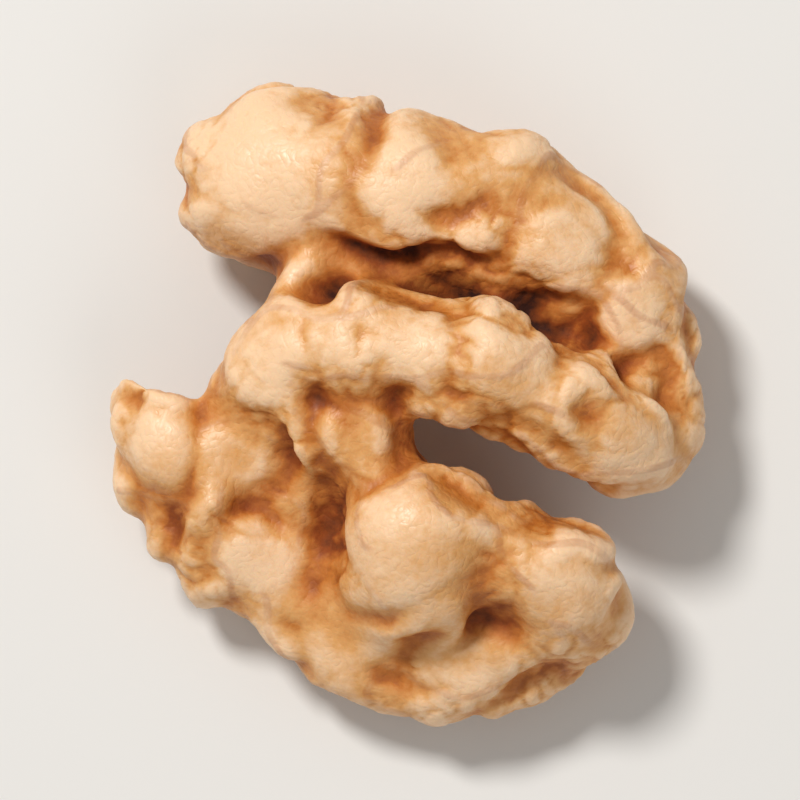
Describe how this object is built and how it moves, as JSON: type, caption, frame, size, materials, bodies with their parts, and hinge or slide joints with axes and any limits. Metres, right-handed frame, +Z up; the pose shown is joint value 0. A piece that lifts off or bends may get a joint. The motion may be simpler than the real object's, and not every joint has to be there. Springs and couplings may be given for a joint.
{
  "type": "walnut kernel half",
  "caption": "Shelled walnut kernel half: two wrinkled lobes joined by a thin bridge, with a notch between them and a hollow underside.",
  "frame": {"origin": "under the middle of the kernel's bounding box, on the plane it rests on", "axes": "+Z up out of the wrinkled outer side; +X along the nut, towards the open end of the notch; +Y towards the lobe whose rim is the larger"},
  "size_m": [0.031, 0.0309, 0.0139],
  "materials": {
    "walnut_skin": "thin waxy skin, pale cream-tan on the ridges and orange-brown in the creases"
  },
  "bodies": {
    "root": {"kernel_half": "walnut_skin"}
  },
  "joints": []
}
